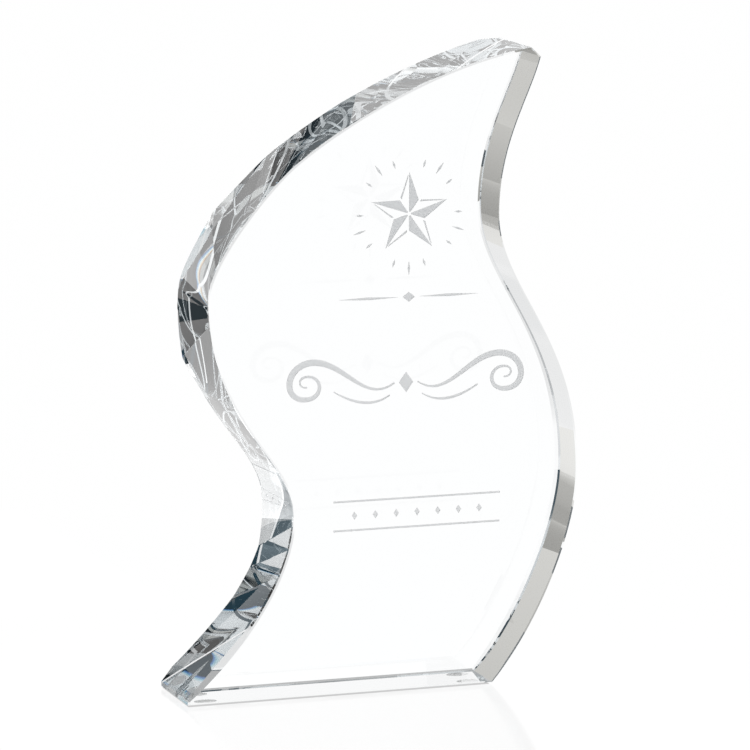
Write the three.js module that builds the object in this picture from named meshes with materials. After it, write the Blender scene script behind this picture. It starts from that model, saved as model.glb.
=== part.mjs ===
// Flame-shaped crystal trophy: one thick slab of clear crystal, ground to a flame outline and polished,
// standing on four thin clear pads. The left and top wall is hand cut in leaning facets, the right wall
// is a smooth sweep. Millimetres: X to the right, Y from the front face to the back, Z up from the table.

import * as THREE from 'three';

// Slab
const thickness = 38.1;
const edgeBevel = 1.2;

// Outline, seen from the front. "Across" is measured from the toe's face at the far left, "up" from the
// underside. A "reach" is the length of a curve's handle, and a slope is in degrees above level.
const baseWidth = 131.5;
const toeLand = 0.9;
const toeSlope = 39;
const toeReach = 26;
const hollowAcross = 45;
const hollowUp = 75.3;
const hollowReachBelow = 27;
const hollowReachAbove = 24.5;
const shoulderAcross = 9;
const shoulderUp = 166.5;
const shoulderReachBelow = 53;
const shoulderReachAbove = 13;
const browAcross = 47;
const browUp = 219.5;
const browSlope = 37;
const browReachBelow = 16;
const browReachAbove = 25.5;
const tipAcross = 146.8;
const tipUp = 262.7;
const tipSlope = 7;
const tipReach = 38;
const tipCut = 5.4;
const tipCutSlope = -45;
const tipCutReach = 17;
const tipUndersideSlope = 75;
const waistAcross = 133.1;
const waistUp = 195.6;
const waistReachBelow = 31.5;
const waistReachAbove = 29;
const bulgeAcross = 168.6;
const bulgeUp = 87.3;
const bulgeReachBelow = 28.3;
const bulgeReachAbove = 56;
const heelSlope = 46;
const heelReach = 25;

// Hand-cut wall. Each arris crosses the wall from the front edge to the back edge. Its ends are shares of
// the left edge's length from the toe up. The lean is how far its back end stands out of the outline (or is
// ground in, where negative), in millimetres. Flat says how far the facet above it is a flat (1) or keeps
// the outline's curve (0).
const arrises = [
  { front: 0.0, back: 0.0, lean: 0.0, flat: 1 },
  { front: 0.12, back: 0.02, lean: -0.1, flat: 1 },
  { front: 0.172, back: 0.126, lean: 0.3, flat: 1 },
  { front: 0.202, back: 0.164, lean: -0.9, flat: 1 },
  { front: 0.23, back: 0.189, lean: -0.2, flat: 1 },
  { front: 0.246, back: 0.25, lean: -1.5, flat: 0 },
  { front: 0.385, back: 0.4, lean: -0.8, flat: 1 },
  { front: 0.484, back: 0.436, lean: 3.4, flat: 0.5 },
  { front: 0.503, back: 0.512, lean: 2.7, flat: 0.4 },
  { front: 0.55, back: 0.607, lean: 2.4, flat: 0.4 },
  { front: 0.6, back: 0.694, lean: 0.2, flat: 1 },
  { front: 0.7, back: 0.798, lean: 0.7, flat: 1 },
  { front: 0.772, back: 0.818, lean: -0.4, flat: 1 },
  { front: 0.803, back: 0.85, lean: 0.9, flat: 1 },
  { front: 0.872, back: 0.975, lean: 0.3, flat: 1 },
  { front: 1.0, back: 1.0, lean: 0.0, flat: 1 },
];
// The facets come to full depth this far behind the front bevel, so the front edge keeps the outline.
const facetRunIn = 9;

// Long shallow grinds along the wall's back edge, between two shares of the left edge's length
const backGrinds = [
  { from: 0.25, to: 0.5, width: 7 },
  { from: 0.51, to: 0.694, width: 13 },
];
const backGrindSlope = 9;
// Narrowest strip between the facets and the back bevel where nothing is ground
const backLand = 1.0;

// Pads
const padThickness = 0.8;
const padDiameter = 9.5;
const padEdgeRound = 0.3;
const padMargin = 3;

// Fineness of the curved surfaces: the length of one step along the walls, the shares of the facets' run-in
// that get a row of their own, and the sides and rim steps of a pad
const wallStep = 2.6;
const runInRows = [0.22, 0.5, 1];
const padSides = 32;
const padRimSteps = 3;

const clearCrystal = new THREE.MeshStandardMaterial({
  color: 0xe9efef,
  roughness: 0.02,
  metalness: 0,
  transparent: true,
  opacity: 0.35,
});
const clearPolyurethane = new THREE.MeshStandardMaterial({
  color: 0xdfe4e4,
  roughness: 0.35,
  metalness: 0,
  transparent: true,
  opacity: 0.6,
});

function heading(slope) {
  const angle = THREE.MathUtils.degToRad(slope);
  return new THREE.Vector2(Math.cos(angle), Math.sin(angle));
}

function point(across, up) {
  return new THREE.Vector2(across, up);
}

// The toe stands upright just far enough that its two bevels leave a land between them.
const toeMitre = Math.tan(THREE.MathUtils.degToRad((90 - toeSlope) / 2));
const toe = point(0, toeLand + edgeBevel * (1 + toeMitre));
const heel = point(baseWidth, 0);
const hollow = point(hollowAcross, hollowUp);
const shoulder = point(shoulderAcross, shoulderUp);
const brow = point(browAcross, browUp);
const tip = point(tipAcross, tipUp);
const tipEnd = tip.clone().addScaledVector(heading(tipCutSlope), tipCut);
const waist = point(waistAcross, waistUp);
const bulge = point(bulgeAcross, bulgeUp);
const centreAcross = bulgeAcross / 2;

function bend(start, startHandle, endHandle, end) {
  return new THREE.CubicBezierCurve(start, startHandle, endHandle, end);
}

function alongSlope(from, slope, length) {
  return from.clone().addScaledVector(heading(slope), length);
}

// Left edge from the toe to the tip
function makeLeftEdge() {
  const edge = new THREE.CurvePath();
  edge.add(bend(
    toe,
    alongSlope(toe, toeSlope, toeReach),
    point(hollowAcross, hollowUp - hollowReachBelow),
    hollow,
  ));
  edge.add(bend(
    hollow,
    point(hollowAcross, hollowUp + hollowReachAbove),
    point(shoulderAcross, shoulderUp - shoulderReachBelow),
    shoulder,
  ));
  edge.add(bend(
    shoulder,
    point(shoulderAcross, shoulderUp + shoulderReachAbove),
    alongSlope(brow, browSlope, -browReachBelow),
    brow,
  ));
  edge.add(bend(
    brow,
    alongSlope(brow, browSlope, browReachAbove),
    alongSlope(tip, tipSlope, -tipReach),
    tip,
  ));
  return edge;
}

// Right edge from the heel to the end of the tip's cut
function makeRightEdge() {
  const edge = new THREE.CurvePath();
  edge.add(bend(
    heel,
    alongSlope(heel, heelSlope, heelReach),
    point(bulgeAcross, bulgeUp - bulgeReachBelow),
    bulge,
  ));
  edge.add(bend(
    bulge,
    point(bulgeAcross, bulgeUp + bulgeReachAbove),
    point(waistAcross, waistUp - waistReachBelow),
    waist,
  ));
  edge.add(bend(
    waist,
    point(waistAcross, waistUp + waistReachAbove),
    alongSlope(tipEnd, tipUndersideSlope, -tipCutReach),
    tipEnd,
  ));
  return edge;
}

const leftEdge = makeLeftEdge();
const rightEdge = makeRightEdge();
const leftLength = leftEdge.getLength();
const rightLength = rightEdge.getLength();

function mix(a, b, share) {
  return a + (b - a) * share;
}

// Unit vector from the left edge into the crystal
function inwardAt(share) {
  const along = leftEdge.getTangentAt(share);
  return new THREE.Vector2(along.y, -along.x);
}

// Depth of the line where the grind along the back edge starts, at a share of the left edge
function grindDepth(share) {
  let width = 0;
  for (const grind of backGrinds) {
    const place = (share - grind.from) / (grind.to - grind.from);
    if (place > 0 && place < 1) {
      width = Math.max(width, grind.width * 4 * place * (1 - place));
    }
  }
  return thickness - edgeBevel - width;
}

// The slab is lofted from rows that follow the outline, from the front face to the back face: the bevelled
// front edge, the facets' run-in, the line where the back grinds start and the bevelled back edge.
const rowCount = 3 + runInRows.length + 2;
const firstInnerRow = 1;
const lastInnerRow = rowCount - 2;
const grindRow = lastInnerRow - 1;

function rowDepth(row, grindLine) {
  if (row === 0) {
    return 0;
  }
  if (row === firstInnerRow) {
    return edgeBevel;
  }
  if (row === rowCount - 1) {
    return thickness;
  }
  if (row === lastInnerRow) {
    return thickness - edgeBevel;
  }
  if (row === grindRow) {
    return Math.min(grindLine, thickness - edgeBevel - backLand);
  }
  return edgeBevel + facetRunIn * runInRows[row - firstInnerRow - 1];
}

// A column on a plain wall keeps the same place at every depth.
function plainColumn(place) {
  const column = [];
  for (let row = 0; row < rowCount; row += 1) {
    column.push({ depth: rowDepth(row, thickness), place: place.clone() });
  }
  return column;
}

// A point of the facet between two arrises, at a share across the facet and a depth
function facetPlace(lower, upper, across, depth) {
  const run = depth / thickness;
  const lowShare = mix(lower.front, lower.back, run);
  const highShare = mix(upper.front, upper.back, run);
  const share = mix(lowShare, highShare, across);
  const runIn = THREE.MathUtils.clamp((depth - edgeBevel) / facetRunIn, 0, 1);
  const flatness = lower.flat * (1 - (1 - runIn) ** 2);
  const low = leftEdge.getPointAt(lowShare);
  const high = leftEdge.getPointAt(highShare);
  const chord = low.lerp(high, across);
  const place = leftEdge.getPointAt(share).lerp(chord, flatness);
  const lean = mix(lower.lean, upper.lean, across) * run;
  return { share, place: place.addScaledVector(inwardAt(share), -lean) };
}

function facetColumn(lower, upper, across) {
  const column = [];
  const grindLine = grindDepth(mix(lower.back, upper.back, across));
  const grindDrop = Math.tan(THREE.MathUtils.degToRad(backGrindSlope));
  for (let row = 0; row < rowCount; row += 1) {
    const depth = rowDepth(row, grindLine);
    const { share, place } = facetPlace(lower, upper, across, depth);
    const drop = Math.max(0, depth - grindLine) * grindDrop;
    place.addScaledVector(inwardAt(share), drop);
    column.push({ depth, place });
  }
  return column;
}

function stepsFor(length) {
  return Math.max(2, Math.ceil(length / wallStep));
}

// All columns, counter-clockwise as seen from the front, from the left end of the base, and the places of
// the outline's corners among them
function makeColumns() {
  const columns = [plainColumn(point(0, 0))];
  const corners = [0, columns.length];
  const rightSteps = stepsFor(rightLength);
  for (let step = 0; step <= rightSteps; step += 1) {
    columns.push(plainColumn(rightEdge.getPointAt(step / rightSteps)));
  }
  corners.push(columns.length - 1, columns.length);
  for (let index = arrises.length - 1; index > 0; index -= 1) {
    const upper = arrises[index];
    const lower = arrises[index - 1];
    const widest = Math.max(upper.front - lower.front, upper.back - lower.back);
    const steps = stepsFor(widest * leftLength);
    for (let step = 0; step < steps; step += 1) {
      columns.push(facetColumn(lower, upper, 1 - step / steps));
    }
  }
  corners.push(columns.length);
  columns.push(plainColumn(toe));
  return { columns, corners };
}

// Moves a row's places inward by the bevel. A corner moves on its mitre, so it also slides along its two
// edges, and the places between two corners share that slide out to stay in order.
function insetRow(places, corners) {
  const count = places.length;
  const tangents = [];
  const moved = places.map((place, index) => {
    const before = places[(index + count - 1) % count];
    const after = places[(index + 1) % count];
    const arriving = place.clone().sub(before).normalize();
    const leaving = after.clone().sub(place).normalize();
    const arrivingNormal = new THREE.Vector2(-arriving.y, arriving.x);
    const leavingNormal = new THREE.Vector2(-leaving.y, leaving.x);
    const mitre = arrivingNormal.add(leavingNormal);
    tangents.push({ arriving, leaving });
    return place.clone().addScaledVector(mitre, (2 * edgeBevel) / mitre.lengthSq());
  });
  for (let run = 0; run + 1 < corners.length; run += 1) {
    const first = corners[run];
    const last = corners[run + 1];
    const slideFirst = moved[first].clone().sub(places[first]).dot(tangents[first].leaving);
    const slideLast = moved[last].clone().sub(places[last]).dot(tangents[last].arriving);
    for (let index = first + 1; index < last; index += 1) {
      const slide = mix(slideFirst, slideLast, (index - first) / (last - first));
      moved[index].addScaledVector(tangents[index].leaving, slide);
    }
  }
  return moved;
}

function makeCrystal() {
  const { columns, corners } = makeColumns();
  const count = columns.length;
  const rows = [];
  for (let row = 0; row < rowCount; row += 1) {
    const places = columns.map((column) => column[row].place);
    const isFace = row === 0 || row === rowCount - 1;
    rows.push(isFace ? insetRow(places, corners) : places);
  }
  const vertices = [];
  for (let row = 0; row < rowCount; row += 1) {
    rows[row].forEach((place, index) => {
      const depth = columns[index][row].depth - thickness / 2;
      vertices.push(place.x - centreAcross, depth, place.y + padThickness);
    });
  }
  const triangles = [];
  for (let row = 0; row + 1 < rowCount; row += 1) {
    for (let index = 0; index < count; index += 1) {
      const next = (index + 1) % count;
      const a = row * count + index;
      const b = row * count + next;
      const c = a + count;
      const d = b + count;
      triangles.push(a, d, b, a, c, d);
    }
  }
  const backStart = (rowCount - 1) * count;
  for (const [a, b, c] of THREE.ShapeUtils.triangulateShape(rows[0], [])) {
    triangles.push(a, b, c);
  }
  for (const [a, b, c] of THREE.ShapeUtils.triangulateShape(rows[rowCount - 1], [])) {
    triangles.push(backStart + a, backStart + c, backStart + b);
  }
  const geometry = new THREE.BufferGeometry();
  geometry.setAttribute('position', new THREE.Float32BufferAttribute(vertices, 3));
  geometry.setIndex(triangles);
  geometry.computeVertexNormals();
  const crystal = new THREE.Mesh(geometry, clearCrystal);
  crystal.name = 'crystal_block';
  return crystal;
}

// A low disc with a rounded lower rim, its flat top stuck to the crystal's underside
function makePad(name, across, depth) {
  const radius = padDiameter / 2;
  const rim = new THREE.Path();
  rim.moveTo(0, 0);
  rim.lineTo(radius - padEdgeRound, 0);
  rim.absarc(radius - padEdgeRound, padEdgeRound, padEdgeRound, -Math.PI / 2, 0, false);
  rim.lineTo(radius, padThickness);
  rim.lineTo(0, padThickness);
  const geometry = new THREE.LatheGeometry(rim.getPoints(padRimSteps), padSides);
  geometry.rotateX(Math.PI / 2);
  const pad = new THREE.Mesh(geometry, clearPolyurethane);
  pad.name = name;
  pad.position.set(across - centreAcross, depth, 0);
  return pad;
}

function makePads() {
  const fromEdge = edgeBevel + padMargin + padDiameter / 2;
  const acrossPlaces = { left: fromEdge, right: baseWidth - fromEdge };
  const depthPlaces = { front: fromEdge - thickness / 2, back: thickness / 2 - fromEdge };
  const pads = [];
  for (const [end, depth] of Object.entries(depthPlaces)) {
    for (const [side, across] of Object.entries(acrossPlaces)) {
      pads.push(makePad(`base_pad_${end}_${side}`, across, depth));
    }
  }
  return pads;
}

const trophy = new THREE.Group();
trophy.add(makeCrystal(), ...makePads());

export default trophy;
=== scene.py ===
"""Clear crystal flame trophy with a hand-cut edge and a sand-etched front, in a white studio."""
import bisect
import math

import bmesh
import bpy
from mathutils import Matrix, Vector


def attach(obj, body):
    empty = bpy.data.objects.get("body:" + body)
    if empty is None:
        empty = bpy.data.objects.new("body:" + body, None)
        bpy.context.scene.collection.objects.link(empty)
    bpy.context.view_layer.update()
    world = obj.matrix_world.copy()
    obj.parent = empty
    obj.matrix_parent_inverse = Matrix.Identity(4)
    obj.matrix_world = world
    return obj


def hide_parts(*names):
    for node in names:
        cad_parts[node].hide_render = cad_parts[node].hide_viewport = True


MM = 0.001

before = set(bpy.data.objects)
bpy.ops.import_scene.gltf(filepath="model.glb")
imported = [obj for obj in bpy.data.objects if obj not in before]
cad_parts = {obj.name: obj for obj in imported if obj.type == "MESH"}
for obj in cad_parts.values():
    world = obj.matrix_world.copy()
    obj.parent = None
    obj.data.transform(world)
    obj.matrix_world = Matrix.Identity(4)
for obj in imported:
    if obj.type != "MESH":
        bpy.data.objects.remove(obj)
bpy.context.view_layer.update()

# The crystal, in mm: across from the toe of the flame, up from the underside, in depth from the front face
THICKNESS = 38.1
TOE_LEFT = -84.3
UNDERSIDE = 0.8
CURVE_STEPS = 400
WALL_STEP = 0.7

# Bevels round the front and the back face. The right edge's widens from the heel, is full between the first
# two of these shares of the edge's length, and from the third one up is as narrow as the others.
EDGE_BEVEL = 0.7
RIGHT_BEVEL = 1.3
RIGHT_BEVEL_SPAN = (0.04, 0.42, 0.58)

# Hand-cut edge: the depth in which a facet leaves the front bevel, how much of its flatness a facet keeps at
# its back end, the width of a polished arris, and the slope in degrees and the least width of a back grind
FACET_RUN_IN = 1.5
BACK_FLAT = 0.4
ARRIS_POLISH = 0.4
GRIND_SLOPE = 9.0
LEAST_GRIND = 1.0

# Camera, in degrees and mm: its turn to the left of the front face, its rise above level, its roll, and its
# distance from the point that it looks at. The lens is for a sensor of this width.
CAMERA_TURN = 19.29
CAMERA_RISE = 9.92
CAMERA_ROLL = -0.19
CAMERA_DISTANCE = 2125.5
CAMERA_AIM = (1.94, 0.0, 128.9)
CAMERA_LENS = 249.3
CAMERA_SENSOR = 36.0

# Floor: half its size in metres, and its strength of white as the camera sees it and as the crystal shows it
# at a low and at a steep angle. Its mirror fades out as the view gets steeper. The angles are Layer Weight's
# Facing, which is 1 along the floor.
FLOOR_HALF = 6.0
FLOOR_WHITE = 1.0
# The crystal sees the floor glow more at a low angle than at a steep one: a painted sheen.
FLOOR_LOW_VIEW = 1.04
FLOOR_STEEP_VIEW = 0.88
FLOOR_VIEW_ANGLES = (0.725, 0.765)
FLOOR_MIRROR = 0.12
FLOOR_MIRROR_ANGLES = (0.4, 0.7)
FLOOR_ROUGHNESS = 0.1

# Room beyond the studio, which shows only in the crystal and in the floor: its tones low down, high up and in
# front, with the heights and the depths of a direction of length 1 between which they change
ROOM_LOW = 0.85
ROOM_HIGH = 0.5
ROOM_FRONT = "#1C3B48"
ROOM_RISE = (0.24, 0.38)
ROOM_DEPTH = (-0.3, -0.1)

# Cards that face the crystal's middle, in metres: its height, and their distance if no other is given
CARD_AIM = 0.13
CARD_DISTANCE = 0.8
# Greys of the paper and of the cards that paint shade on the floor, and the dark cards that give thin lines
# and that keep light off
FLOOR_SHADE_PALE = "#EDECE9"
PAPER_LIGHT = "#C0BFBB"
PAPER_AND_FLOOR_SHADE_SOFT = "#BCBBB7"
FLOOR_SHADE_MIDDLE = "#ADACA8"
PAPER_AND_FLOOR_SHADE_DIM = "#9B9A96"
SLATE = "#2F3E46"
FLAG = "#4A5860"

# Bounces of light. What hasn't left the crystal by then is lost, which gives the facets their darks.
LIGHT_PATH = 12


def along(start, slope, length):
    """The point at a length from start, in a direction given by its slope in degrees."""
    angle = math.radians(slope)
    return Vector(start) + Vector((math.cos(angle), math.sin(angle))) * length


def sweep(*curves):
    """Points along chained Bezier curves, and the length travelled at each."""
    points = []
    for curve in curves:
        a, b, c, d = [Vector(place) for place in curve]
        for step in range(CURVE_STEPS):
            t = step / CURVE_STEPS
            s = 1 - t
            points.append(a * s ** 3 + b * 3 * s * s * t + c * 3 * s * t * t + d * t ** 3)
    points.append(Vector(curves[-1][3]))
    travel = [0.0]
    for before, after in zip(points, points[1:]):
        travel.append(travel[-1] + (after - before).length)
    return points, travel


def smooth_edge(outline):
    """A sweep through outline points, each with its slope and the reaches of its curves' handles."""
    curves = []
    for (start, slope, _, reach), (end, end_slope, end_reach, _) in zip(outline, outline[1:]):
        curves.append((start, along(start, slope, reach), along(end, end_slope, -end_reach), end))
    return sweep(*curves)


def at(edge, share):
    """The place at a share of an edge's length, and the direction to the left of the way along it."""
    points, travel = edge
    goal = min(max(share, 0.0), 1.0) * travel[-1]
    index = min(max(bisect.bisect_right(travel, goal), 1), len(points) - 1)
    run = (goal - travel[index - 1]) / (travel[index] - travel[index - 1])
    way = (points[index] - points[index - 1]).normalized()
    return points[index - 1].lerp(points[index], run), Vector((-way.y, way.x))


def mix(first, last, share):
    return first + (last - first) * share


# Front outline: the hand-cut left edge goes up from the toe, the smooth right edge up from the heel. A point
# has its slope in degrees, and the reach of the curve's handle before and after it. The toe stands on a land.
TOE_SLOPE = 39.0
TOE_LAND = 0.9
TOE = Vector((0.0, TOE_LAND + EDGE_BEVEL * (1 + math.tan(math.radians((90 - TOE_SLOPE) / 2)))))
TIP = Vector((146.8, 262.7))
TIP_CUT = 5.4
TIP_CUT_SLOPE = -45.0
TIP_END = along(TIP, TIP_CUT_SLOPE, TIP_CUT)
HOLLOW = Vector((45.0, 75.3))
SHOULDER = Vector((9.0, 166.5))
BROW = Vector((47.0, 219.5))
HEEL = Vector((131.5, 0.0))
BULGE = Vector((168.6, 87.3))
WAIST = Vector((133.1, 195.6))
LEFT_EDGE = smooth_edge([
    (TOE, TOE_SLOPE, 0.0, 26.0),
    (HOLLOW, 90.0, 27.0, 24.5),
    (SHOULDER, 90.0, 53.0, 13.0),
    (BROW, 37.0, 16.0, 25.5),
    (TIP, 7.0, 38.0, 0.0)])
RIGHT_EDGE = smooth_edge([
    (HEEL, 46.0, 0.0, 25.0),
    (BULGE, 90.0, 28.3, 56.0),
    (WAIST, 90.0, 31.5, 29.0),
    (TIP_END, 75.0, 17.0, 0.0)])

# Arrises of the hand-cut edge, from the toe up: the share of the left edge at which each meets the front and
# the back, how far its back end stands out, and how flat the facet above it is, from 0, curved, to 1
ARRISES = [
    (0.0, 0.0, 0.0, 1.0),
    (0.12, 0.02, 1.4, 1.0),
    (0.172, 0.126, -0.4, 1.0),
    (0.202, 0.164, -0.7, 1.0),
    (0.23, 0.189, -0.7, 1.0),
    (0.246, 0.25, 1.4, 0.0),
    (0.385, 0.4, 3.0, 0.5),
    (0.484, 0.436, 4.7, 0.4),
    (0.503, 0.512, 1.2, 0.4),
    (0.55, 0.607, 3.4, 0.4),
    (0.6, 0.694, -0.5, 0.6),
    (0.7, 0.798, -0.2, 0.6),
    (0.772, 0.818, -0.3, 0.6),
    (0.803, 0.85, -0.2, 0.6),
    (0.872, 0.975, 1.1, 0.6),
    (1.0, 1.0, 0.0, 1.0)]

# Long grinds along the back of the left edge: the shares at which each starts and ends, and its widest part
BACK_GRINDS = [(0.25, 0.5, 7.0), (0.51, 0.694, 13.0)]


def linear(hex_colour):
    """An sRGB hex colour as linear red, green, blue and alpha."""
    parts = [int(hex_colour[i:i + 2], 16) / 255 for i in (1, 3, 5)]
    return tuple(p / 12.92 if p <= 0.04045 else ((p + 0.055) / 1.055) ** 2.4 for p in parts) + (1.0,)


def add(tree, kind, settings=None, links=None):
    """Adds a node. settings sets its properties and sockets by name, links joins sockets to outputs."""
    node = tree.nodes.new(kind)
    for name, value in (settings or {}).items():
        if isinstance(name, str) and hasattr(node, name):
            setattr(node, name, value)
        else:
            node.inputs[name].default_value = value
    for name, source in (links or {}).items():
        tree.links.new(source, node.inputs[name])
    return node


def new_material(name):
    material = bpy.data.materials.new(name)
    material.use_nodes = True
    material.node_tree.nodes.clear()
    return material


def polished_crystal():
    """Optical crystal, ground and polished with cerium oxide: a mirror-smooth surface on colourless glass. It
    shows a faint slate tint only where light crosses a long way inside it."""
    material = new_material("polished_optical_crystal")
    tree = material.node_tree
    glass = add(tree, "ShaderNodeBsdfPrincipled", {
        "Base Color": linear("#FFFFFF"), "Roughness": 0.0, "IOR": 1.52, "Transmission Weight": 1.0})
    depth = add(tree, "ShaderNodeVolumeAbsorption", {"Color": linear("#A9BCC4"), "Density": 1.4})
    add(tree, "ShaderNodeOutputMaterial", links={"Surface": glass.outputs[0], "Volume": depth.outputs[0]})
    return material


def etched_crystal():
    """The same crystal where sand has etched it: a matt white frost with a fine grit. Real grit of about
    0.1 mm wouldn't show, so it is drawn at 0.5 mm."""
    grit_size = 0.5 * MM
    grit_depth = 0.05 * MM
    material = new_material("sand_etched_crystal")
    tree = material.node_tree
    place = add(tree, "ShaderNodeTexCoord")
    grit = add(tree, "ShaderNodeTexNoise", {"Scale": 1 / grit_size, "Detail": 3.0},
               {"Vector": place.outputs["Object"]})
    bump = add(tree, "ShaderNodeBump", {"Strength": 0.35, "Distance": grit_depth},
               {"Height": grit.outputs[0]})
    rough = add(tree, "ShaderNodeMapRange", {"To Min": 0.5, "To Max": 0.75}, {"Value": grit.outputs[0]})
    frost = add(tree, "ShaderNodeBsdfPrincipled", {
        "Base Color": linear("#F1F2F3"), "IOR": 1.52, "Transmission Weight": 0.75},
        {"Roughness": rough.outputs[0], "Normal": bump.outputs[0]})
    add(tree, "ShaderNodeOutputMaterial", links={"Surface": frost.outputs[0]})
    return material


def clear_pad():
    """Cast polyurethane bumper pad: clear and soft, with a satin skin that hazes what is behind it."""
    haze_size = 1.2 * MM
    material = new_material("clear_cast_polyurethane")
    tree = material.node_tree
    place = add(tree, "ShaderNodeTexCoord")
    haze = add(tree, "ShaderNodeTexNoise", {"Scale": 1 / haze_size, "Detail": 2.0},
               {"Vector": place.outputs["Object"]})
    rough = add(tree, "ShaderNodeMapRange", {"To Min": 0.25, "To Max": 0.45}, {"Value": haze.outputs[0]})
    skin = add(tree, "ShaderNodeBsdfPrincipled", {
        "Base Color": linear("#EEF1F0"), "IOR": 1.49, "Transmission Weight": 0.6},
        {"Roughness": rough.outputs[0]})
    add(tree, "ShaderNodeOutputMaterial", links={"Surface": skin.outputs[0]})
    return material


def link(thing):
    bpy.context.collection.objects.link(thing)
    return thing


def in_frame(place, depth):
    """A place on the crystal as a point of the shared frame, in metres."""
    return Vector((place.x + TOE_LEFT, depth - THICKNESS / 2, place.y + UNDERSIDE)) * MM


def grind_width(share):
    """Width of the back grind at a share of the left edge. It runs out where it gets too narrow to grind."""
    widest = 0.0
    for first, last, full in BACK_GRINDS:
        run = (share - first) / (last - first)
        if 0 < run < 1:
            widest = max(widest, full * 4 * run * (1 - run))
    return widest if widest > LEAST_GRIND else 0.0


def facet_columns(lower, upper):
    """Columns of one facet, from its upper arris down. Each has the places of the front bevel, of the facet's
    front end, of the line where the back grind starts and of the back bevel, and the widths of the grind and
    of the bevels."""
    front_ends, back_ends = [], []
    for front, back, lean, _ in (lower, upper):
        place, out = at(LEFT_EDGE, back)
        front_ends.append(at(LEFT_EDGE, front)[0])
        back_ends.append(place + out * lean)
    flat = lower[3]
    length = LEFT_EDGE[1][-1] * max(upper[0] - lower[0], upper[1] - lower[1])
    steps = max(2, math.ceil(length / WALL_STEP))
    polish = ARRIS_POLISH / 2 / length
    columns = []
    for step in range(steps + 1):
        across = min(max(1 - step / steps, polish), 1 - polish)
        front, _ = at(LEFT_EDGE, mix(lower[0], upper[0], across))
        back_share = mix(lower[1], upper[1], across)
        back, out = at(LEFT_EDGE, back_share)
        back = back + out * mix(lower[2], upper[2], across)
        back = back.lerp(back_ends[0].lerp(back_ends[1], across), flat * BACK_FLAT)
        facet_front = front.lerp(front_ends[0].lerp(front_ends[1], across), flat)
        width = grind_width(back_share)
        grind = facet_front.lerp(back, 1 - width / (THICKNESS - 2 * EDGE_BEVEL))
        back = back - out * width * math.tan(math.radians(GRIND_SLOPE))
        columns.append((front, facet_front, grind, back, width, EDGE_BEVEL))
    return columns


def inset(places, bevels, corners):
    """Moves a closed row of places inward by their bevels. The corners move on their mitres, and the places
    between two corners follow them."""
    moved, ways = [], []
    for index, place in enumerate(places):
        arriving = (place - places[index - 1]).normalized()
        leaving = (places[(index + 1) % len(places)] - place).normalized()
        mitre = Vector((-arriving.y - leaving.y, arriving.x + leaving.x))
        moved.append(place + mitre * (2 * bevels[index] / mitre.length_squared))
        ways.append((arriving, leaving))
    for first, last in zip(corners, corners[1:]):
        start = (moved[first] - places[first]).dot(ways[first][1])
        end = (moved[last] - places[last]).dot(ways[last][0])
        for index in range(first + 1, last):
            moved[index] = moved[index] + ways[index][1] * mix(start, end, (index - first) / (last - first))
    return moved


def right_bevel(share):
    """Width of the bevels at a share of the right edge."""
    start, fade, end = RIGHT_BEVEL_SPAN
    full = max(0.0, min(1.0, share / start, (end - share) / (end - fade)))
    return mix(EDGE_BEVEL, RIGHT_BEVEL, full)


def wall_columns():
    """Columns round the whole crystal, from the toe along the base, up the right edge and down the left one,
    with the name of the ground surface that follows each, and the columns that are corners."""
    columns, surfaces = [], []

    def plain(place, surface, bevel=EDGE_BEVEL):
        columns.append((place, place, place, place, 0.0, bevel))
        surfaces.append(surface)

    plain(Vector((0.0, 0.0)), "base")
    steps = math.ceil(RIGHT_EDGE[1][-1] / WALL_STEP)
    for step in range(steps):
        share = step / steps
        plain(at(RIGHT_EDGE, share)[0], "right edge", right_bevel(share))
    plain(TIP_END, "tip")
    corners = [0, 1, len(columns) - 1, len(columns)]
    for index in range(len(ARRISES) - 1, 0, -1):
        facet = facet_columns(ARRISES[index - 1], ARRISES[index])
        columns += facet
        surfaces += ["facet %d" % index] * (len(facet) - 1) + ["arris %d" % index]
    corners.append(len(columns))
    plain(TOE, "toe")
    return columns, surfaces, corners


def ground_crystal():
    """The crystal's mesh, with a sharp edge wherever two ground surfaces meet."""
    columns, surfaces, corners = wall_columns()
    fronts, facet_fronts, grinds, backs, widths, bevels = zip(*columns)
    count = len(columns)
    shape = bmesh.new()

    def row(places, depths):
        return [shape.verts.new(in_frame(place, depth)) for place, depth in zip(places, depths)]

    rows = [
        row(inset(fronts, bevels, corners), [0.0] * count),
        row(fronts, bevels),
        row(facet_fronts, [EDGE_BEVEL + FACET_RUN_IN] * count)]
    back_row = row(backs, [THICKNESS - bevel for bevel in bevels])
    rows.append([shape.verts.new(in_frame(place, THICKNESS - bevel - width)) if width else back
                 for place, width, bevel, back in zip(grinds, widths, bevels, back_row)])
    rows += [back_row, row(inset(backs, bevels, corners), [THICKNESS] * count)]
    surface_of = {}

    def grind_face(corner_vertices, surface):
        ring = list(dict.fromkeys(corner_vertices))
        if len(ring) > 2:
            face = shape.faces.new(ring)
            face.smooth = True
            surface_of[face] = surface

    bands = ("front bevel", "run-in", "wall", "back grind", "back bevel")
    for this in range(count):
        following = (this + 1) % count
        surface = surfaces[this]
        cut = surface.startswith(("facet", "arris"))
        for band, before, after in zip(bands, rows, rows[1:]):
            if band.endswith("bevel") and cut:
                name = (band, "hand-cut edge")
            elif band.endswith("bevel") or cut:
                name = (band, surface)
            else:
                name = ("wall", surface)
            grind_face((before[this], after[this], after[following], before[following]), name)
    grind_face(rows[0][::-1], "front face")
    grind_face(rows[-1], "back face")
    for edge in shape.edges:
        edge.smooth = len({surface_of[face] for face in edge.link_faces}) == 1
    bmesh.ops.recalc_face_normals(shape, faces=shape.faces)
    mesh = bpy.data.meshes.new("crystal_flame")
    shape.to_mesh(mesh)
    shape.free()
    return mesh


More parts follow.
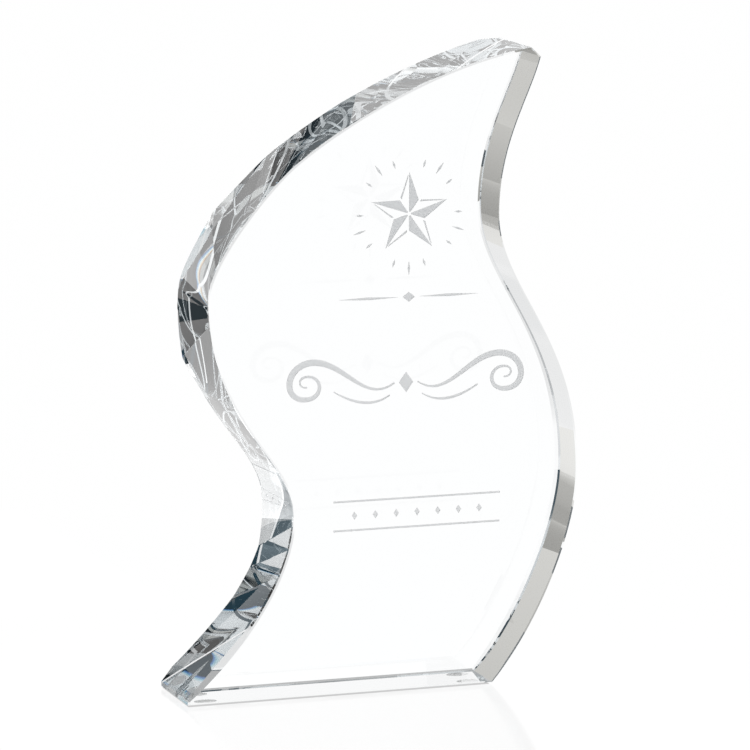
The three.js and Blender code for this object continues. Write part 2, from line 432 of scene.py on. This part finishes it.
# Etched design, in mm on the front face, from the toe. Diamonds are given by half their length and width.
ETCH_DEPTH = 0.4
STAR_CENTRE = Vector((94.0, 197.0))
STAR_REACH = 17.0
STAR_WAIST = 6.9
DIVIDER_CENTRE = Vector((94.0, 163.0))
DIVIDER_DIAMOND = (2.6, 2.0)
DIVIDER_RULE = (4.5, 30.0)
DIVIDER_RULE_WIDTH = 1.1
RULE_CENTRE = Vector((98.0, 74.0))
RULE_REACH = 36.0
RULE_GAP = 12.0
RULE_WIDTH = 0.7
BEADS_EACH_SIDE = 3
BEAD_SPACING = 9.0
BEAD_DIAMOND = (1.6, 1.1)
ACROSS = Vector((1.0, 0.0))
UP = Vector((0.0, 1.0))

# Rays round the star: where the long ones start and end, their width, and for the three after each point the
# degrees from that point and the share of a long ray's length
RAY_START = 19.5
RAY_END = 25.0
RAY_WIDTH = 0.9
RAYS = ((18, 0.6), (36, 1.0), (54, 0.6))

# Pen flourish: its diamond, and the Bezier curves of its right half from the centre out. Each stroke has the
# pen's width at its ends and in its middle.
FLOURISH_CENTRE = Vector((93.0, 128.0))
FLOURISH_DIAMOND = (3.0, 4.2)
SCROLL = (
    ((5, 0), (18, -9), (27, 11), (41, 10)),
    ((41, 10), (52, 9), (53, -5), (43, -5)),
    ((43, -5), (35, -5), (35.5, 4.6), (42.5, 4.4)),
    ((42.5, 4.4), (47, 4.2), (46, -0.6), (42.4, 0)))
HAIRLINE = (((7, -5), (14, -9.5), (22, -8), (31, -2.5)),)
STROKES = ((SCROLL, 0.6, 2.6), (HAIRLINE, 0.5, 1.0))
PEN_STEP = 0.9
LEAST_PEN_STEPS = 16
PEN_SWELL = 1.5


def clock(centre, reach, degrees):
    """The point at a reach from a centre, at degrees round from straight up."""
    return along(centre, 90 - degrees, reach)


def diamond(start, end, half_width):
    """A long kite between two points."""
    way = (end - start).normalized()
    side = Vector((-way.y, way.x)) * half_width
    middle = start.lerp(end, 0.5)
    return [start, middle + side, end, middle - side]


def lozenge(centre, way, half_length, half_width):
    """A diamond round a centre, long in the way given."""
    return diamond(centre - way * half_length, centre + way * half_length, half_width)


def etched_star():
    """A five-pointed star, half of each point frosted and half outlined, with fine rays round it."""
    patches = []
    for point in range(5):
        turn = 72 * point
        tip = clock(STAR_CENTRE, STAR_REACH, turn)
        right = clock(STAR_CENTRE, STAR_WAIST, turn + 36)
        left = clock(STAR_CENTRE, STAR_WAIST, turn - 36)
        # The frosted half stops short of the centre, so that clear lines part the points.
        patches.append([STAR_CENTRE.lerp(tip, 0.05), tip, right, STAR_CENTRE.lerp(right, 0.16)])
        # The other half is a line along its outer side, short of both ends.
        start, end = left.lerp(tip, 0.1), left.lerp(tip, 0.9)
        patches.append([start, end, end.lerp(STAR_CENTRE, 0.05), start.lerp(STAR_CENTRE, 0.12)])
        for offset, share in RAYS:
            near = clock(STAR_CENTRE, RAY_START, turn + offset)
            far = clock(STAR_CENTRE, mix(RAY_START, RAY_END, share), turn + offset)
            patches.append(diamond(near, far, RAY_WIDTH / 2))
    return patches


def etched_divider():
    """A small diamond between two rules that taper outward."""
    near, far = DIVIDER_RULE
    patches = [lozenge(DIVIDER_CENTRE, ACROSS, *DIVIDER_DIAMOND)]
    for side in (-1, 1):
        start = DIVIDER_CENTRE + ACROSS * side * near
        end = DIVIDER_CENTRE + ACROSS * side * far
        patches.append(diamond(start, end, DIVIDER_RULE_WIDTH / 2))
    return patches


def pen_stroke(curve, thin, thick):
    """The outline of a pen stroke along a curve, thin at both ends and thick between."""
    left, right = [], []
    steps = max(LEAST_PEN_STEPS, math.ceil(curve[1][-1] / PEN_STEP))
    for step in range(steps + 1):
        place, out = at(curve, step / steps)
        half = mix(thin, thick, max(0.0, math.sin(math.pi * step / steps)) ** PEN_SWELL) / 2
        left.append(place + out * half)
        right.append(place - out * half)
    return left + right[::-1]


def etched_flourish():
    """A pen flourish: a scroll to each side of a diamond, with a short hairline under each."""
    patches = [lozenge(FLOURISH_CENTRE, ACROSS, *FLOURISH_DIAMOND)]
    for side in (-1, 1):
        for route, thin, thick in STROKES:
            curves = [[FLOURISH_CENTRE + Vector((x * side, y)) for x, y in curve] for curve in route]
            patches.append(pen_stroke(sweep(*curves), thin, thick))
    return patches


def etched_rules():
    """Two fine rules with a row of small diamonds between them."""
    patches = []
    left, right = RULE_CENTRE.x - RULE_REACH, RULE_CENTRE.x + RULE_REACH
    for side in (-1, 1):
        height = RULE_CENTRE.y + side * RULE_GAP / 2
        low, high = height - RULE_WIDTH / 2, height + RULE_WIDTH / 2
        patches.append([Vector(place) for place in ((left, low), (right, low), (right, high), (left, high))])
    for number in range(-BEADS_EACH_SIDE, BEADS_EACH_SIDE + 1):
        patches.append(lozenge(RULE_CENTRE + ACROSS * number * BEAD_SPACING, UP, *BEAD_DIAMOND))
    return patches


def etch(crystal, patches):
    """Cuts the design into the front face, so that its floor and sides get the etched finish. The cutter
    starts 1 mm in front of the face."""
    sand = bmesh.new()
    for patch in patches:
        rings = [[sand.verts.new(in_frame(place, depth)) for place in patch] for depth in (-1.0, ETCH_DEPTH)]
        sand.faces.new(rings[0])
        sand.faces.new(rings[1][::-1])
        for this in range(len(patch)):
            sand.faces.new((rings[0][this - 1], rings[1][this - 1], rings[1][this], rings[0][this]))
    bmesh.ops.recalc_face_normals(sand, faces=sand.faces)
    mesh = bpy.data.meshes.new("sand")
    sand.to_mesh(mesh)
    sand.free()
    mesh.materials.append(etched_crystal())
    cutter = link(bpy.data.objects.new("sand", mesh))
    cut = crystal.modifiers.new("etching", "BOOLEAN")
    cut.operation = "DIFFERENCE"
    cut.solver = "EXACT"
    cut.material_mode = "TRANSFER"
    cut.object = cutter
    scene_state = bpy.context.evaluated_depsgraph_get()
    etched = bpy.data.meshes.new_from_object(crystal.evaluated_get(scene_state))
    crystal.modifiers.clear()
    crystal.data = etched
    bpy.data.objects.remove(cutter)


def make_crystal():
    mesh = ground_crystal()
    mesh.materials.append(polished_crystal())
    crystal = link(bpy.data.objects.new("crystal_flame", mesh))
    etch(crystal, etched_star() + etched_divider() + etched_flourish() + etched_rules())
    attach(crystal, "root")
    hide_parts("crystal_block")


def finish_pads():
    """Gives the frame's own pads their material."""
    skin = clear_pad()
    for name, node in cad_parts.items():
        if name.startswith("base_pad"):
            for slot in node.material_slots:
                slot.material = skin


def facing(azimuth, rise, width, height, away=CARD_DISTANCE):
    """Corners of a card that faces the crystal from that far away, in metres. The angles are degrees as seen
    from the crystal: azimuth 0 is straight behind it and 90 is at its right."""
    turn = Matrix.Rotation(math.radians(-azimuth), 4, "Z") @ Matrix.Rotation(math.radians(rise), 4, "X")
    across = away * math.tan(math.radians(width / 2))
    tall = away * math.tan(math.radians(height / 2))
    centre = Vector((0, 0, CARD_AIM))
    return [centre + turn @ Vector((x, away, z))
            for x, z in ((-across, -tall), (across, -tall), (across, tall), (-across, tall))]


def lying(near, far, near_span, far_span, up):
    """Corners of a level card, in mm in the crystal's frame, with the ends of its near and its far edge."""
    return [Vector(place) * MM for place in (
        (near_span[0], near, up), (near_span[1], near, up), (far_span[1], far, up), (far_span[0], far, up))]


def standing(left, right, back, low, high, top_left=None):
    """Corners of an upright card behind the crystal, in mm in the crystal's frame. Its left side slants where
    its top left corner is given."""
    if top_left is None:
        top_left = left
    return [Vector(place) * MM for place in (
        (left, back, low), (right, back, low), (right, back, high), (top_left, back, high))]


def glow_colour(tone):
    """The glow of a card: white at that strength, or a colour given in hex."""
    return linear(tone) if isinstance(tone, str) else (tone, tone, tone, 1.0)


def make_card(name, corners, first, last=None, seen=False, gloss=True, through=True):
    """A glowing studio card, with the tone first along its first edge and last along the edge opposite. The
    camera sees it directly if seen is set, in reflections if gloss is, through the crystal if through is."""
    if last is None:
        last = first
    mesh = bpy.data.meshes.new(name)
    mesh.from_pydata(corners, [], [(0, 1, 2, 3)])
    shades = mesh.color_attributes.new("tone", "FLOAT_COLOR", "POINT")
    for item, tone in zip(shades.data, (first, first, last, last)):
        item.color = glow_colour(tone)
    card = link(bpy.data.objects.new(name, mesh))
    material = new_material(name)
    tree = material.node_tree
    shade = add(tree, "ShaderNodeAttribute", {"attribute_name": "tone"})
    glow = add(tree, "ShaderNodeEmission", links={"Color": shade.outputs["Color"]})
    add(tree, "ShaderNodeOutputMaterial", links={"Surface": glow.outputs[0]})
    mesh.materials.append(material)
    card.visible_camera = seen
    card.visible_glossy = gloss
    card.visible_transmission = through
    card.visible_diffuse = False
    card.visible_shadow = False


def inner_card(name, corners, first, last=None):
    """A card that shows only through the crystal."""
    make_card(name, corners, first, last, gloss=False)


def outer_card(name, corners, first, last=None):
    """A card that shows only in reflections."""
    make_card(name, corners, first, last, through=False)


def make_floor():
    """A white floor that glows instead of being lit, with a soft mirror in it."""
    corners = [(x * FLOOR_HALF, y * FLOOR_HALF, 0) for x, y in ((-1, -1), (1, -1), (1, 1), (-1, 1))]
    mesh = bpy.data.meshes.new("studio_floor")
    mesh.from_pydata(corners, [], [(0, 1, 2, 3)])
    floor = link(bpy.data.objects.new("studio_floor", mesh))
    material = new_material("white_sweep")
    tree = material.node_tree
    # To the crystal the glow is stronger at a low angle than at a steep one: a painted sheen. The camera sees
    # the glow at plain white strength.
    slant = add(tree, "ShaderNodeLayerWeight", {"Blend": 0.5})
    shown = add(tree, "ShaderNodeMapRange", {
        "interpolation_type": "SMOOTHSTEP",
        "From Min": FLOOR_VIEW_ANGLES[0], "From Max": FLOOR_VIEW_ANGLES[1],
        "To Min": FLOOR_STEEP_VIEW, "To Max": FLOOR_LOW_VIEW}, {"Value": slant.outputs["Facing"]})
    path = add(tree, "ShaderNodeLightPath")
    strength = add(tree, "ShaderNodeMapRange", {"To Max": FLOOR_WHITE}, {
        "Value": path.outputs["Is Camera Ray"], "To Min": shown.outputs[0]})
    glow = add(tree, "ShaderNodeEmission", {"Color": linear("#FFFFFF")}, {"Strength": strength.outputs[0]})
    mirror = add(tree, "ShaderNodeBsdfGlossy", {"Color": linear("#FFFFFF"), "Roughness": FLOOR_ROUGHNESS})
    share = add(tree, "ShaderNodeMapRange", {
        "From Min": FLOOR_MIRROR_ANGLES[0], "From Max": FLOOR_MIRROR_ANGLES[1], "To Max": FLOOR_MIRROR},
        {"Value": slant.outputs["Facing"]})
    skin = add(tree, "ShaderNodeMixShader", links={
        0: share.outputs[0], 1: glow.outputs[0], 2: mirror.outputs[0]})
    add(tree, "ShaderNodeOutputMaterial", links={"Surface": skin.outputs[0]})
    mesh.materials.append(material)


def make_world():
    """White to the camera. The crystal shows a pale room behind it and a dark one in front."""
    world = bpy.data.worlds.new("studio")
    bpy.context.scene.world = world
    world.use_nodes = True
    tree = world.node_tree
    tree.nodes.clear()
    path = add(tree, "ShaderNodeLightPath")
    place = add(tree, "ShaderNodeTexCoord")
    split = add(tree, "ShaderNodeSeparateXYZ", links={"Vector": place.outputs["Generated"]})
    height = add(tree, "ShaderNodeMapRange", {
        "interpolation_type": "SMOOTHSTEP", "From Min": ROOM_RISE[0], "From Max": ROOM_RISE[1],
        "To Min": ROOM_LOW, "To Max": ROOM_HIGH}, {"Value": split.outputs["Z"]})
    behind = add(tree, "ShaderNodeMapRange", {
        "interpolation_type": "SMOOTHSTEP", "From Min": ROOM_DEPTH[0], "From Max": ROOM_DEPTH[1]},
        {"Value": split.outputs["Y"]})
    # A Mix node's colours are sockets 6 and 7, and its mixed colour is output 2.
    shade = add(tree, "ShaderNodeMix", {"data_type": "RGBA", 6: linear(ROOM_FRONT)},
                {0: behind.outputs[0], 7: height.outputs[0]})
    room = add(tree, "ShaderNodeBackground", links={"Color": shade.outputs[2]})
    white = add(tree, "ShaderNodeBackground", {"Color": linear("#FFFFFF")})
    blend = add(tree, "ShaderNodeMixShader", links={
        0: path.outputs["Is Camera Ray"], 1: room.outputs[0], 2: white.outputs[0]})
    add(tree, "ShaderNodeOutputWorld", links={"Surface": blend.outputs[0]})


# Colours that crystal spreads from a bright card's edge, from the warm end to the cool one. One index of
# refraction can't spread them, so thin bands of these colours, so many degrees high, stand in for that.
SPECTRUM = ("#54382F", "#E9AF80", "#FFEFC8", "#FFFFFF", "#C4E9F4", "#6E9FDA", "#333E62")
COOL_END = SPECTRUM[3:]
FRINGE_BAND = 0.7


def make_fringe(azimuth, rise, width, away, tones):
    """Thin bands of colour, one above another from a rise up, that shade into each other."""
    for band, (first, last) in enumerate(zip(tones, tones[1:])):
        middle = rise + FRINGE_BAND * (band + 0.5)
        inner_card("colour_fringe", facing(azimuth, middle, width, FRINGE_BAND, away), first, last)


def make_backdrop():
    """White paper behind the crystal, and the shade under its base."""
    make_card("white_backdrop", standing(-300, 6000, 3200, 0, 1150), 0.98, seen=True)
    make_card("shade_under_base", lying(-18.5, 18.5, (-84, 46), (-84, 46), 0.1), 0.6, seen=True)


def light_right_edge():
    """Grey paper that the smooth right edge mirrors from inside, grey cards on the floor that paint shade on
    it, and the darks of its fine lines.
    """
    inner_card("grey_back_left", standing(-1900, -300, 2500, 60, 1000), "#D4D3CF", PAPER_LIGHT)
    inner_card("grey_back_middle", standing(-1036, -800, 2480, 85, 570, -906), "#A3A29E", PAPER_LIGHT)
    inner_card("grey_low_back_left", standing(-1900, -540, 2490, 0, 90), PAPER_AND_FLOOR_SHADE_DIM)
    inner_card("shelf_back_left", lying(520, 2400, (-700, -45), (-1600, -210), 91), "#959490", PAPER_AND_FLOOR_SHADE_SOFT)
    # These three lie on the white floor and show only through the crystal: painted shade, greying the floor
    # there as the crystal shows it.
    inner_card("floor_back", lying(330, 1500, (-110, -30), (-330, -190), 1), FLOOR_SHADE_PALE, PAPER_AND_FLOOR_SHADE_SOFT)
    inner_card("floor_back_left", lying(330, 700, (-700, -110), (-800, -155), 1), FLOOR_SHADE_PALE, FLOOR_SHADE_MIDDLE)
    inner_card("floor_far_left", lying(700, 2480, (-800, -155), (-1700, -340), 1), FLOOR_SHADE_MIDDLE, PAPER_AND_FLOOR_SHADE_DIM)
    inner_card("dark_line_back", standing(-530, -240, 2450, 20, 560), SLATE)
    inner_card("dark_line_floor", lying(650, 2000, (-112, -82), (-440, -255), 2), SLATE)


def light_facets_inside():
    """Lights, darks and colour fringes that the hand-cut facets show from inside the crystal."""
    inner_card("dark_high_back_left", facing(-20, 46, 40, 26), 0.1)
    inner_card("dark_back_right", standing(480, 1400, 2400, 0, 400), "#7E8C94", "#56646C")
    inner_card("dark_floor_right", lying(880, 2390, (470, 640), (1010, 1480), 1), "#5F6D75")
    inner_card("softbox_front", facing(185, 9.5, 50, 21, 2.5), 1.0)
    make_fringe(185, 20, 50, 2.5, COOL_END)
    make_fringe(-3.5, 16, 15, 2.3, SPECTRUM)
    inner_card("softbox_front_left", facing(-140, 0, 40, 24, 2.5), 1.0)


def light_facets_outside():
    """Lights, and flags against them, that the hand-cut facets reflect on their outside."""
    outer_card("softbox_over_back", facing(16.25, 24, 23.5, 24, 3), 1.45)
    outer_card("grey_flag_back", facing(2.75, 18, 3.5, 32, 2.5), "#B4BDC2")
    outer_card("black_flag_back", facing(-1, 20, 4, 28, 2.5), FLAG)
    outer_card("softbox_left", standing(-420, -112, 500, 245, 520), 2.1)
    outer_card("strip_light_left", standing(-390, -235, 490, 155, 250), 2.7)
    outer_card("black_flag_left", standing(-180, -100, 250, 30, 84), FLAG)
    outer_card("black_flag_shoulder", standing(-225, -165, 250, 104, 128), "#6E7D85")
    outer_card("bright_floor_left", lying(180, 400, (-140, -30), (-330, -40), 2), 1.5, 2.9)


def make_camera():
    data = bpy.data.cameras.new("photo_view")
    data.sensor_width = CAMERA_SENSOR
    data.lens = CAMERA_LENS
    camera = link(bpy.data.objects.new("photo_view", data))
    turn = math.radians(CAMERA_TURN)
    rise = math.radians(CAMERA_RISE)
    back = Vector((-math.sin(turn) * math.cos(rise), -math.cos(turn) * math.cos(rise), math.sin(rise)))
    aim = Vector(CAMERA_AIM) * MM
    camera.location = aim + back * CAMERA_DISTANCE * MM
    look = (-back).to_track_quat("-Z", "Y").to_matrix().to_4x4()
    spin = Matrix.Rotation(math.radians(-CAMERA_ROLL), 4, "Z")
    camera.matrix_world = Matrix.Translation(camera.location) @ look @ spin
    bpy.context.scene.camera = camera


make_crystal()
finish_pads()
make_floor()
make_world()
make_backdrop()
light_right_edge()
light_facets_inside()
light_facets_outside()
make_camera()
bpy.context.scene.view_settings.view_transform = "Standard"
for limit in ("max_bounces", "glossy_bounces", "transmission_bounces"):
    setattr(bpy.context.scene.cycles, limit, LIGHT_PATH)
